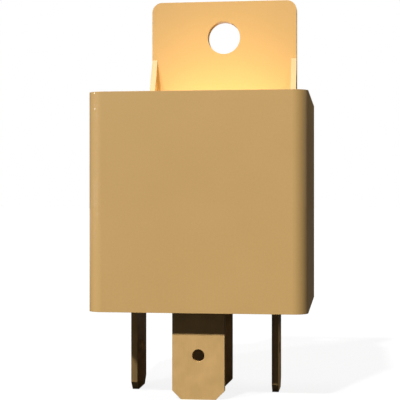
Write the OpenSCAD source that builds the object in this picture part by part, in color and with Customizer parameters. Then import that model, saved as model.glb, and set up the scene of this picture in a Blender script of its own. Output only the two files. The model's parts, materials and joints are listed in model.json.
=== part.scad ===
// Five-blade changeover relay with a moulded mounting tab.
// Millimetres. The origin is the middle of the seating plane under the base,
// +Z points up through the cover, and the front is the side at -Y.

/* [Cover] */
// Width of the cover across its left and right sides
cover_w = 26.2; // [25:0.1:34]
// Depth of the cover from front to back
cover_d = 26.5; // [26:0.1:34]
// Height of the cover above the seating plane
cover_h = 26.2; // [24:0.1:34]
// Thickness of the cover's four walls
cover_wall = 1.2; // [1.1:0.05:1.4]
// Thickness of the cover's roof
roof_t = 1.2; // [0.8:0.05:1.6]
// Thickness of the skirt that slips over the base
skirt_wall = 0.85; // [0.6:0.05:0.95]
// Outside radius of the four upright edges
edge_r = 1.75; // [1.3:0.05:3]
// Width of the guide ribs inside the two side walls
guide_w = 0.9; // [0.6:0.1:1.4]
// How far the guide ribs stand off the walls
guide_out = 0.5; // [0.3:0.05:0.7]

/* [Mounting tab] */
// Width of the tab
tab_w = 20.2; // [12:0.1:24]
// Height of the tab above the cover's roof
tab_h = 14.75; // [12.5:0.05:20]
// Thickness of the tab
tab_t = 1.5; // [1.2:0.1:3]
// Sideways offset of the tab from the middle of the cover
tab_shift = 0.6; // [0:0.1:0.8]
// Radius of the tab's two upper corners
tab_corner_r = 1.4; // [0.5:0.1:4]
// Diameter of the fixing hole
tab_hole_d = 4.5; // [3:0.1:6]
// Height of the fixing hole's centre above the roof
tab_hole_up = 9.7; // [8:0.1:10]
// Thickness of the two gussets at the tab's foot
gusset_t = 0.75; // [0.6:0.05:2]
// Height of the gussets above the roof
gusset_h = 6.7; // [3:0.1:7]
// Length of the gussets along the roof
gusset_l = 3.2; // [1.5:0.1:5]

/* [Blades] */
// Width of the plug blades
blade_w = 6.3; // [5:0.1:6.5]
// Thickness of the plug blades
blade_t = 0.8; // [0.6:0.05:1]
// Length of the blades below the seating plane
blade_out = 10.5; // [8:0.1:13]
// Chamfer at the two corners of each blade's tip
blade_chamfer = 1.05; // [0.5:0.05:1.5]
// Diameter of the hole in each blade
blade_hole_d = 1.5; // [1:0.1:2.2]
// Distance of the blade's hole from the tip
blade_hole_up = 5.25; // [3:0.05:6]
// Distance of the two coil blades from the middle
coil_blade_x = 8.8; // [8.6:0.1:9.6]
// Gap from the cover's front to the face of the front blade
front_gap = 2.2; // [2.1:0.1:2.6]
// Distance from the front blade back to the two coil blades
coil_row = 8.3; // [8:0.1:8.6]
// Distance from the front blade back to the middle blade
middle_row = 9.05; // [8.6:0.05:9.4]
// Distance from the front blade back to the rear blade
rear_row = 17; // [16.4:0.1:17.5]

/* [Base] */
// Thickness of the base plate
base_t = 3.2; // [3:0.1:4]
// Height of the pads that carry the magnet frame
pad_h = 1; // [0.8:0.1:1.5]
// Gap between the base and the cover's skirt
base_gap = 0.08; // [0.05:0.01:0.15]
// Gap between a blade and its slot in the base
slot_gap = 0.03; // [0.02:0.01:0.06]
// Height of the ribs that back the two contact strips
strip_rib_h = 6; // [3:0.1:8]
// Depth of the pockets moulded round the blades, on the underside
pocket_depth = 0.8; // [0.3:0.1:1.2]
// Width of the pockets round each blade
pocket_margin = 0.9; // [0.5:0.1:1]
// Height of the collars that steady the coil blades
collar_h = 1.1; // [0.8:0.1:1.5]
// Thickness of the collars
collar_t = 0.6; // [0.4:0.05:0.7]

/* [Magnet] */
// Thickness of the magnet frame
frame_t = 1.5; // [1.2:0.1:1.8]
// Width of the magnet frame
frame_w = 12; // [11:0.1:13]
// Gap between the magnet frame's back and the cover's wall
frame_gap = 1.95; // [1.9:0.05:2.5]
// Gap between the magnet frame's leg and the bobbin's flanges
coil_gap = 0.45; // [0.42:0.01:0.6]
// Height of the ears that hold the armature sideways
ear_h = 1.15; // [0.8:0.05:1.3]
// Gap between the ears and the armature's tongue
ear_gap = 0.15; // [0.1:0.01:0.25]
// Diameter of the iron core
core_d = 6.4; // [5:0.1:6.6]
// Diameter of the core's pole head
pole_d = 9.2; // [8:0.1:10]
// Thickness of the core's pole head
pole_t = 1; // [0.8:0.1:1.4]
// Side of the square bobbin flanges
flange_w = 13; // [12.6:0.1:13.4]
// Thickness of the bobbin flanges
flange_t = 0.9; // [0.6:0.1:1.2]
// Wall of the bobbin's sleeve
sleeve_t = 0.8; // [0.5:0.1:0.9]
// Depth of the winding on the sleeve
winding_t = 1.9; // [1:0.1:2]
// Thickness of the screen between the coil and the contacts
screen_t = 0.65; // [0.5:0.05:0.7]
// Width of the screen
screen_w = 9; // [7:0.1:10.5]
// Gap between the screen and the armature's front edge
screen_gap = 0.35; // [0.25:0.05:0.5]

/* [Armature] */
// Thickness of the armature
armature_t = 1.4; // [1:0.1:1.6]
// Width of the armature
armature_w = 11; // [9:0.1:12]
// Angle that the armature opens when the coil is off
open_angle = 3; // [2:0.1:3.5]
// Air gap left between the armature and the pole when pulled in
pull_gap = 0.05; // [0.03:0.01:0.1]
// Thickness of the contact spring
leaf_t = 0.3; // [0.2:0.02:0.4]
// Width of the contact spring over the armature
leaf_w = 9; // [8:0.1:10]
// Width of the contact spring at the moving contact
leaf_tip_w = 5; // [4:0.1:6]
// Inside radius of the spring's bend behind the armature
leaf_bend_r = 1.3; // [1.1:0.05:1.5]
// Width of the window that softens the spring's bend
leaf_window_w = 3.2; // [2:0.1:4]
// Length cut off the armature's two front corners
armature_corner = 1.3; // [0.6:0.1:2]

/* [Contacts] */
// Diameter of the contact heads
contact_d = 3.2; // [2.4:0.1:3.6]
// Height of the fixed contact heads
fixed_head = 0.65; // [0.5:0.05:0.9]
// Height of the moving contact's upper and lower heads
moving_head = 0.65; // [0.5:0.05:0.9]
// Diameter of the contact rivets' shanks
shank_d = 1.6; // [1.2:0.1:2]
// Gap left between closed contacts
touch_gap = 0.03; // [0.02:0.01:0.06]
// Distance from the front blade back to the contacts
contact_back = 3.1; // [2.8:0.1:3.4]
// Gap between the upper contact strip and the roof
head_room = 0.6; // [0.4:0.05:1]
// Width of the strip round a fixed contact
contact_land = 0.6; // [0.4:0.05:0.7]

/* [Suppression resistor] */
// Diameter of the resistor's body
resistor_d = 2.4; // [1.8:0.1:2.6]
// Length of the resistor's body
resistor_l = 6.6; // [5:0.1:7]
// Diameter of the resistor's leads
lead_d = 0.5; // [0.4:0.05:0.6]
// Diameter of the coil's enamelled wire ends
wire_d = 0.3; // [0.2:0.02:0.4]

/* [Hidden] */
$fn = 48;
eps = 0.01;

tan_cover = [0.77, 0.63, 0.40];
dark_resin = [0.20, 0.17, 0.13];
brass = [0.80, 0.66, 0.38];
iron = [0.62, 0.62, 0.60];
silver = [0.86, 0.86, 0.84];
copper = [0.72, 0.38, 0.20];
bronze = [0.76, 0.55, 0.33];
nylon = [0.90, 0.88, 0.80];

// Rows of blades, front to back
front_y = -cover_d / 2 + front_gap + blade_t / 2;
coil_y = front_y + coil_row;
middle_y = front_y + middle_row;
rear_y = front_y + rear_row;
contact_y = front_y + contact_back;

// Base and the pads that carry the magnet frame
base_w = cover_w - 2 * (skirt_wall + base_gap);
base_d = cover_d - 2 * (skirt_wall + base_gap);
frame_z = base_t + pad_h;
floor_z = frame_z + frame_t;

// Magnet frame and coil
frame_back = cover_d / 2 - cover_wall - frame_gap;
magnet_y = frame_back - frame_t - coil_gap - flange_w / 2;
frame_front = magnet_y - flange_w / 2;
core_gap = 0.1;
sleeve_r = core_d / 2 + core_gap + sleeve_t;
winding_r = sleeve_r + winding_t;
neck_d = core_d - 1.8;
armature_front = frame_front + screen_t + screen_gap;

// The rear blade's tenon and shoulders, and the core's foot in front of them
tenon_w = 2.6;
tenon_gap = 0.02;
shoulder_w = tenon_w + 0.8;
foot_gap = 0.15;
foot_d = 2 * (rear_y - shoulder_w / 2 - magnet_y - foot_gap);

// Heights, worked down from the roof to the pole face
roof_z = cover_h - roof_t;
break_arm_z = roof_z - head_room - blade_t;
break_face_z = break_arm_z - fixed_head;
arm_length = frame_back - contact_y;
lift = arm_length * sin(open_angle);
leaf_top_z = break_face_z - touch_gap - moving_head - lift;
armature_z = leaf_top_z - leaf_t - armature_t;
pole_z = armature_z - pull_gap;
coil_top_z = pole_z - pole_t;
make_face_z = leaf_top_z - leaf_t - moving_head - touch_gap;
make_arm_z = make_face_z - fixed_head - blade_t;

// Strips that carry the fixed contacts
strip_w = 3.2;
strip_gap = 1;
break_strip_x = blade_w / 2 + strip_gap;
break_web_z = base_t - 1.2;
arm_half = contact_d / 2 + contact_land;

// Ears beside the spring, and the notches that they leave in the armature
ear_w = (frame_w - leaf_w) / 2 - 0.6;
tongue_w = frame_w - 2 * ear_w - 2 * ear_gap;

// Posts of the coil blades, where wires and leads are joined
post_w = 2.2;
post_notch = 0.4;
post_z = base_t + 6;
lead_z = post_z - 1.6;
resistor_y = front_y + 3.4;

// Places of the rivets
leaf_rivet_x = 2.6;
leaf_rivet_y = magnet_y - 1;
rivet_head_t = 0.45;
shank_gap = 0.01;
frame_rivet_z = pole_z - 5.5;
frame_rivet_x = 2.8;

// ---------- helpers ----------

// A box from its middle in X, its front in Y and its bottom in Z
module block(w, d, h, at = [0, 0, 0]) {
    translate([at[0] - w / 2, at[1], at[2]])
        cube([w, d, h]);
}

// An upright bar with four rounded edges, standing on z
module rounded_bar(w, d, h, r, z) {
    translate([0, 0, z])
        linear_extrude(h)
            union() {
                square([w - 2 * r, d], center = true);
                square([w, d - 2 * r], center = true);
                for (sx = [-1, 1], sy = [-1, 1])
                    translate([sx * (w / 2 - r), sy * (d / 2 - r)])
                        circle(r);
            }
}

// Places flat armature parts where the spring holds them with the coil off
module released() {
    translate([0, frame_back, armature_z])
        rotate([-open_angle, 0, 0])
            translate([0, -frame_back, -armature_z])
                children();
}

// Outline of a plug blade seen on its face, from the tip up to the given height
module blade_outline(top) {
    half = blade_w / 2;
    tip = half - blade_chamfer;
    difference() {
        polygon([[-tip, -blade_out], [tip, -blade_out], [half, blade_chamfer - blade_out],
                 [half, top], [-half, top], [-half, blade_chamfer - blade_out]]);
        translate([0, blade_hole_up - blade_out])
            circle(d = blade_hole_d);
    }
}

// A flat blade that shows its face to the front
module face_blade(y, top) {
    translate([0, y + blade_t / 2, 0])
        rotate([90, 0, 0])
            linear_extrude(blade_t)
                blade_outline(top);
}

// Stands a profile drawn in Y and Z upright, with its thickness along X
module side_profile(t) {
    translate([-t / 2, 0, 0])
        rotate([90, 0, 90])
            linear_extrude(t)
                children();
}

// A rivet's head with a bevelled rim, flat side at the bottom
module rivet_head() {
    rim = rivet_head_t / 2;
    cylinder(h = rim, d = 1.7 * shank_d);
    translate([0, 0, rim])
        cylinder(h = rivet_head_t - rim, d1 = 1.7 * shank_d, d2 = 1.1 * shank_d);
}

// A domed contact head: flat below, crowned above
module contact_head(h) {
    intersection() {
        cylinder(h = h, d = contact_d, $fn = 96);
        translate([0, 0, h - 3 * contact_d])
            sphere(3 * contact_d, $fn = 96);
    }
}

// ---------- cover ----------

module tab_outline() {
    half = tab_w / 2;
    difference() {
        union() {
            translate([-half, -roof_t])
                square([tab_w, roof_t + tab_h - tab_corner_r]);
            translate([-half + tab_corner_r, -roof_t])
                square([tab_w - 2 * tab_corner_r, roof_t + tab_h]);
            for (s = [-1, 1])
                translate([s * (half - tab_corner_r), tab_h - tab_corner_r])
                    circle(tab_corner_r);
        }
        translate([0, tab_hole_up])
            circle(d = tab_hole_d);
    }
}

module gusset(x) {
    tab_face = cover_d / 2 - tab_t;
    translate([x, 0, 0])
        side_profile(gusset_t)
            polygon([[tab_face - gusset_l, cover_h - eps], [tab_face + eps, cover_h - eps],
                     [tab_face + eps, cover_h + gusset_h], [tab_face, cover_h + gusset_h],
                     [tab_face - gusset_l, cover_h]]);
}

module cover_shell() {
    difference() {
        rounded_bar(cover_w, cover_d, cover_h, edge_r, 0);
        rounded_bar(cover_w - 2 * cover_wall, cover_d - 2 * cover_wall, roof_z,
                    edge_r - cover_wall + 0.3, 0);
        rounded_bar(cover_w - 2 * skirt_wall, cover_d - 2 * skirt_wall, base_t + 0.05 + eps,
                    edge_r - skirt_wall, -eps);
    }
}

// Ribs that guide the cover down past the ends of the base's strips
module guide_ribs() {
    wall = cover_w / 2 - cover_wall;
    from_z = base_t + 1;
    for (s = [-1, 1], y = [contact_y - 1.5, magnet_y - 3.6])
        block(guide_out + eps, guide_w, roof_z - from_z + eps,
              [s * (wall - (guide_out - eps) / 2), y, from_z]);
}

module cover() {
    color(tan_cover)
        union() {
            cover_shell();
            guide_ribs();
            translate([tab_shift, cover_d / 2, cover_h])
                rotate([90, 0, 0])
                    linear_extrude(tab_t)
                        tab_outline();
            for (s = [-1, 1])
                gusset(tab_shift + s * (tab_w - gusset_t) / 2);
        }
}

// ---------- base ----------

module face_slot(y) {
    block(blade_w + 2 * slot_gap, blade_t + 2 * slot_gap, base_t + 2,
          [0, y - blade_t / 2 - slot_gap, -1]);
}

module edge_slot(x, y) {
    block(blade_t + 2 * slot_gap, blade_w + 2 * slot_gap, base_t + collar_h + 2,
          [x, y - blade_w / 2 - slot_gap, -1]);
}

// Plan of the web that leads from the middle blade to the front
module break_web_plan(gap) {
    half = blade_w / 2 + gap;
    right = break_strip_x + strip_w + gap;
    left = break_strip_x - gap;
    back = middle_y + blade_t / 2 + gap;
    front = front_y - blade_t / 2 - gap;
    polygon([[-half, back], [half, back], [right, back - (right - half)], [right, front],
             [left, front], [left, middle_y - 5.2], [left - 2.6, middle_y - 2.6],
             [-half, middle_y - 2.6]]);
}

module strip_rib(x, w) {
    block(w + 1.6, 1, strip_rib_h, [x, front_y + blade_t / 2 + slot_gap, base_t - eps]);
}

module base_pads() {
    pad_w = 2;
    pad_x = frame_w / 2 - pad_w / 2;
    short_front = middle_y + blade_t / 2 + 0.8;
    block(pad_w, frame_back - frame_front, pad_h + eps, [-pad_x, frame_front, base_t - eps]);
    block(pad_w, frame_back - short_front, pad_h + eps, [pad_x, short_front, base_t - eps]);
}

// Collars that stand round the shoulders of the coil blades
module collars() {
    collar_w = blade_t + 2 * (slot_gap + collar_t);
    collar_d = blade_w + 2 * (slot_gap + collar_t);
    for (s = [-1, 1])
        block(collar_w, collar_d, collar_h + eps,
              [s * coil_blade_x, coil_y - collar_d / 2, base_t - eps]);
}

// A pocket in the underside round a blade of the given width and depth in plan
module pocket(w, d, x, y) {
    full_w = w + 2 * pocket_margin;
    full_d = d + 2 * pocket_margin;
    block(full_w, full_d, pocket_depth + 1, [x, y - full_d / 2, -1]);
}

module pockets() {
    pocket(blade_w, blade_t, 0, front_y);
    pocket(blade_w, blade_t, 0, middle_y);
    pocket(blade_t, blade_w, 0, rear_y);
    for (s = [-1, 1])
        pocket(blade_t, blade_w, s * coil_blade_x, coil_y);
}

// Shallow round marks where the ejector pins push the moulding out
module ejector_marks() {
    for (sx = [-1, 1], sy = [-1, 1])
        translate([sx * (base_w / 2 - 3), sy * (base_d / 2 - 2.6), -1])
            cylinder(h = 1.25, d = 2.4);
}

module base() {
    color(dark_resin)
        difference() {
            union() {
                rounded_bar(base_w, base_d, base_t, edge_r - skirt_wall - base_gap, 0);
                base_pads();
                collars();
                strip_rib(0, blade_w);
                strip_rib(break_strip_x + strip_w / 2, strip_w);
            }
            pockets();
            ejector_marks();
            face_slot(front_y);
            face_slot(middle_y);
            for (s = [-1, 1])
                edge_slot(s * coil_blade_x, coil_y);
            edge_slot(0, rear_y);
            translate([0, 0, break_web_z - slot_gap])
                linear_extrude(base_t - break_web_z + slot_gap)
                    break_web_plan(slot_gap);
        }
}

// ---------- terminals ----------

// Plan of a strip's end, round under its contact, from the given front
module contact_arm_plan(from_y) {
    translate([-arm_half, from_y])
        square([2 * arm_half, contact_y - from_y]);
    translate([0, contact_y])
        circle(arm_half);
}

module terminal_87() {
    color(brass)
        union() {
            face_blade(front_y, make_arm_z + blade_t);
            translate([0, 0, make_arm_z])
                linear_extrude(blade_t)
                    contact_arm_plan(front_y);
        }
}

// Plan of the upper strip: back from its post, across to the contact
module break_arm_plan() {
    right = break_strip_x + strip_w;
    strip_front = front_y - blade_t / 2;
    translate([break_strip_x, strip_front])
        square([strip_w, contact_y + arm_half - strip_front]);
    translate([0, contact_y - arm_half])
        square([right, 2 * arm_half]);
    translate([0, contact_y])
        circle(arm_half);
}

module terminal_87a() {
    strip_mid = break_strip_x + strip_w / 2;
    color(brass)
        union() {
            face_blade(middle_y, break_web_z + blade_t);
            translate([0, 0, break_web_z])
                linear_extrude(blade_t)
                    break_web_plan(0);
            block(strip_w, blade_t, break_arm_z + blade_t - break_web_z,
                  [strip_mid, front_y - blade_t / 2, break_web_z]);
            translate([0, 0, break_arm_z])
                linear_extrude(blade_t)
                    break_arm_plan();
        }
}

// Outline of a coil blade in Y and Z, with a notched post for the wires
module coil_blade_outline() {
    difference() {
        union() {
            blade_outline(base_t + 0.6);
            translate([-post_w / 2, base_t])
                square([post_w, post_z - base_t]);
        }
        for (s = [-1, 1])
            translate([s * post_w / 2, lead_z])
                square([2 * post_notch, 1.2], center = true);
    }
}

module coil_blade(x) {
    translate([x, coil_y, 0])
        side_profile(blade_t)
            coil_blade_outline();
}

module terminal_85() {
    color(brass)
        coil_blade(coil_blade_x);
}

module terminal_86() {
    color(brass)
        coil_blade(-coil_blade_x);
}

// The rear blade carries the magnet frame on its shoulders, with a tenon staked into it
module terminal_30() {
    color(brass)
        translate([0, rear_y, 0])
            side_profile(blade_t)
                union() {
                    blade_outline(base_t);
                    translate([-shoulder_w / 2, base_t - eps])
                        square([shoulder_w, pad_h + eps]);
                    translate([-tenon_w / 2, frame_z - eps])
                        square([tenon_w, frame_t + eps]);
                }
}

// ---------- magnet ----------

// Profile of the magnet frame in Y and Z: a foot, a bend and an upright leg
module frame_profile() {
    bend = frame_t + 0.4;
    translate([frame_front, frame_z])
        square([frame_back - frame_front - bend, frame_t]);
    translate([frame_back - frame_t, frame_z + bend])
        square([frame_t, pole_z - frame_z - bend]);
    translate([frame_back - bend, frame_z + bend])
        difference() {
            circle(bend);
            circle(bend - frame_t);
            translate([-2 * bend, -2 * bend])
                square([2 * bend, 4 * bend]);
            translate([-2 * bend, 0])
                square([4 * bend, 2 * bend]);
        }
}

// Ears on both sides of the leg's upper edge, which keep the armature from sliding off
module ears() {
    for (s = [-1, 1])
        block(ear_w, frame_t, ear_h + eps,
              [s * (frame_w - ear_w) / 2, frame_back - frame_t, pole_z - eps]);
}

module magnet_frame() {
    color(iron)
        difference() {
            union() {
                side_profile(frame_w)
                    frame_profile();
                ears();
            }
            translate([0, magnet_y, frame_z - 1])
                cylinder(h = frame_t + 2, d = neck_d);
            block(blade_t + 2 * tenon_gap, tenon_w + 2 * tenon_gap, frame_t + 2,
                  [0, rear_y - tenon_w / 2 - tenon_gap, frame_z - 1]);
            for (s = [-1, 1])
                translate([s * frame_rivet_x, frame_back + 1, frame_rivet_z])
                    rotate([90, 0, 0])
                        cylinder(h = frame_t + 2, d = shank_d);
        }
}

// The core's foot is riveted over under the frame
module core() {
    foot_h = 0.35;
    color(iron)
        translate([0, magnet_y, 0])
            union() {
                translate([0, 0, frame_z - foot_h])
                    cylinder(h = foot_h, d1 = foot_d - 1, d2 = foot_d);
                translate([0, 0, frame_z])
                    cylinder(h = frame_t + eps, d = neck_d);
                translate([0, 0, floor_z])
                    cylinder(h = coil_top_z - floor_z + eps, d = core_d);
                translate([0, 0, coil_top_z])
                    cylinder(h = pole_t, d = pole_d);
            }
}

module bobbin() {
    spool_h = coil_top_z - floor_z;
    color(nylon)
        translate([0, magnet_y, 0])
            difference() {
                union() {
                    rounded_bar(flange_w, flange_w, flange_t, 1, floor_z);
                    rounded_bar(flange_w, flange_w, flange_t, 1, coil_top_z - flange_t);
                    translate([0, 0, floor_z])
                        cylinder(h = spool_h, r = sleeve_r);
                    block(screen_w, screen_t, armature_z + 0.6 - coil_top_z + flange_t,
                          [0, frame_front - magnet_y, coil_top_z - flange_t]);
                }
                translate([0, 0, floor_z - 1])
                    cylinder(h = spool_h + 2, d = core_d + 2 * core_gap);
                for (s = [-1, 1])
                    translate([s * flange_w / 2, coil_y - magnet_y, floor_z - 1])
                        cylinder(h = flange_t + 2, r = 0.6);
            }
}

module winding() {
    color(copper)
        translate([0, magnet_y, floor_z + flange_t])
            difference() {
                cylinder(h = coil_top_z - floor_z - 2 * flange_t, r = winding_r);
                translate([0, 0, -1])
                    cylinder(h = coil_top_z, r = sleeve_r);
            }
}

// ---------- armature and contact spring ----------

// Armature profile in Y and Z, flat on the pole, its back end chamfered for the spring
module armature_profile() {
    back = frame_back - 0.1;
    land = 0.25;
    polygon([[armature_front, armature_z], [back, armature_z], [back, armature_z + land],
             [back - armature_t + land, armature_z + armature_t],
             [armature_front, armature_z + armature_t]]);
}

module leaf_rivet_places() {
    for (s = [-1, 1])
        translate([s * leaf_rivet_x, leaf_rivet_y, 0])
            children();
}

// What is cut from one side of the armature: its front corner and the notch for an ear
module armature_side_cut() {
    front = armature_front;
    half = armature_w / 2;
    notch_y = frame_back - frame_t - ear_gap - 0.1;
    translate([0, 0, armature_z - 1])
        linear_extrude(armature_t + 2) {
            polygon([[half - armature_corner, front - 1], [half + 1, front - 1],
                     [half + 1, front + armature_corner], [half, front + armature_corner],
                     [half - armature_corner, front]]);
            translate([tongue_w / 2, notch_y])
                square([frame_w, frame_t + 1]);
        }
}

module armature() {
    color(iron)
        released()
            difference() {
                side_profile(armature_w)
                    armature_profile();
                armature_side_cut();
                mirror([1, 0, 0])
                    armature_side_cut();
                leaf_rivet_places()
                    translate([0, 0, armature_z - 1])
                        cylinder(h = armature_t + 2, d = shank_d);
            }
}

// Spring profile in Y and Z: over the armature, round its back, down the frame
function leaf_arc(r, c) =
    [for (i = [0:8]) let (a = (90 - open_angle) * (1 - i / 8)) c + r * [cos(a), sin(a)]];

module leaf_profile() {
    tilt = [sin(open_angle), cos(open_angle)];
    along = [-cos(open_angle), sin(open_angle)];
    leg_y = frame_back + 0.02;
    bend_y = leg_y - leaf_bend_r;
    bend_z = armature_z + (armature_t - leaf_bend_r + (frame_back - bend_y) * tilt[0]) / tilt[1];
    bend = [bend_y, bend_z];
    reach = bend_y - contact_y + leaf_tip_w / 2;
    leg_end = frame_rivet_z - 2;
    under = leaf_bend_r;
    over = leaf_bend_r + leaf_t;
    polygon(concat([bend + over * tilt + reach * along], leaf_arc(over, bend),
                   [[leg_y + leaf_t, leg_end], [leg_y, leg_end]],
                   [for (i = [8:-1:0]) leaf_arc(under, bend)[i]],
                   [bend + under * tilt + reach * along]));
}

// What is cut from both sides of the spring to leave its narrow nose
module leaf_side_cuts() {
    shoulder_y = armature_front - 0.6;
    nose_r = leaf_tip_w / 2;
    side = (leaf_w - leaf_tip_w) / 2 + 1;
    for (s = [-1, 1])
        block(side, cover_d, 6, [s * (leaf_tip_w / 2 + side / 2), shoulder_y - cover_d,
                                 armature_z - 2]);
    difference() {
        block(leaf_w + 2, nose_r + 2, 6, [0, contact_y - nose_r - 2, armature_z - 2]);
        translate([0, contact_y, armature_z - 3])
            cylinder(h = 8, r = nose_r);
    }
}

module contact_spring() {
    window_z = frame_rivet_z + 2;
    color(bronze)
        difference() {
            side_profile(leaf_w)
                leaf_profile();
            block(leaf_window_w, 5, cover_h, [0, frame_back - 2.4, window_z]);
            released()
                leaf_side_cuts();
            released()
                union() {
                    translate([0, contact_y, armature_z - 1])
                        cylinder(h = armature_t + 3, d = shank_d);
                    leaf_rivet_places()
                        translate([0, 0, armature_z - 1])
                            cylinder(h = armature_t + 3, d = shank_d);
                }
            for (s = [-1, 1])
                translate([s * frame_rivet_x, frame_back + 2, frame_rivet_z])
                    rotate([90, 0, 0])
                        cylinder(h = 4, d = shank_d);
        }
}

module spring_rivets() {
    color(silver)
        released()
            leaf_rivet_places()
                union() {
                    translate([0, 0, armature_z + 0.05])
                        cylinder(h = armature_t + leaf_t, d = shank_d - 2 * shank_gap);
                    translate([0, 0, leaf_top_z])
                        rivet_head();
                }
}

module frame_rivets() {
    color(silver)
        for (s = [-1, 1])
            translate([s * frame_rivet_x, frame_back - frame_t + 0.05, frame_rivet_z])
                rotate([-90, 0, 0])
                    union() {
                        cylinder(h = frame_t + leaf_t, d = shank_d - 2 * shank_gap);
                        translate([0, 0, frame_t + leaf_t - 0.03])
                            rivet_head();
                    }
}

// ---------- contacts ----------

module moving_contact() {
    color(silver)
        released()
            translate([0, contact_y, 0])
                union() {
                    translate([0, 0, leaf_top_z])
                        contact_head(moving_head);
                    translate([0, 0, leaf_top_z - leaf_t - eps])
                        cylinder(h = leaf_t + 2 * eps, d = shank_d - 2 * shank_gap, $fn = 96);
                    translate([0, 0, leaf_top_z - leaf_t])
                        mirror([0, 0, 1])
                            contact_head(moving_head);
                }
}

module contact_make() {
    color(silver)
        translate([0, contact_y, make_face_z - fixed_head])
            contact_head(fixed_head);
}

module contact_break() {
    color(silver)
        translate([0, contact_y, break_arm_z])
            mirror([0, 0, 1])
                contact_head(fixed_head);
}

// ---------- coil wires and suppression resistor ----------

// A straight piece of round wire between two points
module wire(from, to, d) {
    step = to - from;
    length = norm(step);
    translate(from)
        rotate([0, acos(step[2] / length), atan2(step[1], step[0])])
            cylinder(h = length, d = d, $fn = 24);
}

// Each end of the winding runs over the lower flange to the post at its side
module coil_wires() {
    exit_z = floor_z + flange_t + 0.5;
    exit_x = sqrt(pow(winding_r, 2) - pow(coil_y - magnet_y, 2)) + 0.1;
    color(copper)
        for (s = [-1, 1])
            wire([s * exit_x, coil_y, exit_z],
                 [s * (coil_blade_x - blade_t / 2 - 0.08), coil_y, lead_z], wire_d);
}

module resistor() {
    color([0.25, 0.35, 0.45])
        translate([-resistor_l / 2, resistor_y, lead_z])
            rotate([0, 90, 0])
                cylinder(h = resistor_l, d = resistor_d);
}

module resistor_leads() {
    post_front = coil_y - post_w / 2 + post_notch - lead_d / 2;
    elbow_r = 1;
    color(silver)
        for (s = [-1, 1])
            mirror([s < 0 ? 1 : 0, 0, 0])
                union() {
                    wire([resistor_l / 2 + 0.02, resistor_y, lead_z],
                         [coil_blade_x - elbow_r, resistor_y, lead_z], lead_d);
                    translate([coil_blade_x - elbow_r, resistor_y + elbow_r, lead_z])
                        rotate([0, 0, -90])
                            rotate_extrude(angle = 90)
                                translate([elbow_r, 0])
                                    circle(d = lead_d, $fn = 24);
                    wire([coil_blade_x, resistor_y + elbow_r, lead_z],
                         [coil_blade_x, post_front, lead_z], lead_d);
                }
}

cover();
base();
terminal_87();
terminal_87a();
terminal_85();
terminal_86();
terminal_30();
magnet_frame();
core();
bobbin();
winding();
armature();
contact_spring();
spring_rivets();
frame_rivets();
moving_contact();
contact_make();
contact_break();
resistor();
resistor_leads();
coil_wires();
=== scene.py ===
"""A plug-in changeover relay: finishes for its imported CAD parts, the pieces that are wound,
soldered or bent by hand, and a plain studio round it. Everything is in metres, in the part's own
frame."""

import json
import math

import bpy
from bpy.props import FloatProperty, FloatVectorProperty, IntProperty, PointerProperty
from bpy.types import Operator, Panel, PropertyGroup
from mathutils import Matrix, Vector

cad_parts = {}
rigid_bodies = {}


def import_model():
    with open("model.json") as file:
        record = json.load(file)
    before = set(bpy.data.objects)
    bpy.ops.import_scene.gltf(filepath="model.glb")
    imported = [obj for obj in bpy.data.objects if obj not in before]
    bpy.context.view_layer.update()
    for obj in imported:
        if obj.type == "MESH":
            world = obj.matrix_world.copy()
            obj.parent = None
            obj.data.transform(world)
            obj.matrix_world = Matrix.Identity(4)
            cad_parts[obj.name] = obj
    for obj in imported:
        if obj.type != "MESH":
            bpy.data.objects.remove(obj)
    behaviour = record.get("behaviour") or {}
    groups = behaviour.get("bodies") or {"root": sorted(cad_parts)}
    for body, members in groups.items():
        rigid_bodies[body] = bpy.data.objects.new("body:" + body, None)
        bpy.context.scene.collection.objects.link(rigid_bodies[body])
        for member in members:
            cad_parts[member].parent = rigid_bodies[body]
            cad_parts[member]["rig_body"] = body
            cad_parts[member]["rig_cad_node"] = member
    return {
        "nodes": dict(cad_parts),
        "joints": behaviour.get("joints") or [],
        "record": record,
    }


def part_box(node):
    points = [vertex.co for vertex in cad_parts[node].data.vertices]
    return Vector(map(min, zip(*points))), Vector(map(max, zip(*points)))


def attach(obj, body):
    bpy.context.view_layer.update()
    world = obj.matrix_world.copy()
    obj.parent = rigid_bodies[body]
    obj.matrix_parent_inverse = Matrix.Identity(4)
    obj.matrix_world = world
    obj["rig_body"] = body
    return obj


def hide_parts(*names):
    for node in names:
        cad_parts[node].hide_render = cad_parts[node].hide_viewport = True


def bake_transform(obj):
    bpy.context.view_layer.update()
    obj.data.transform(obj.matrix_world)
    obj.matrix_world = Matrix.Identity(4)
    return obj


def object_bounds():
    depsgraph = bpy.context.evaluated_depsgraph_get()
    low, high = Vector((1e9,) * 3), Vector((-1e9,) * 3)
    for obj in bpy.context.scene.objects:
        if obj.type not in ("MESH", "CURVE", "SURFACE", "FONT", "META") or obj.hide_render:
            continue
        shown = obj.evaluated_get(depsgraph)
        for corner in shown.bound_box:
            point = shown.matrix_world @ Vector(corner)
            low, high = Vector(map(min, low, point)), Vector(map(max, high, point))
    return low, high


bl_info = {
    "name": "Automotive relay",
    "version": (1, 0, 0),
    "blender": (4, 5, 0),
    "location": "View3D > Sidebar > Relay",
    "description": "Finishes a plug-in relay's parts and lights them in a plain studio",
    "category": "Object",
}

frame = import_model()
cad_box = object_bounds()

MM = 0.001
# Nearly all of a noise's values lie between these two
LOW, HIGH = 0.3, 0.7
# A mix node's sockets for colours. It has others, by the same names, for plain numbers
COLOUR_A, COLOUR_B, COLOUR_OUT = 6, 7, 2
WHITE = (1.0, 1.0, 1.0)
# How far the lamps stand from what they light, in metres
LAMP_DISTANCE = 0.5
COIL_BLADES = ("terminal_85", "terminal_86")


# ---------- colours and nodes ----------


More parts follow.
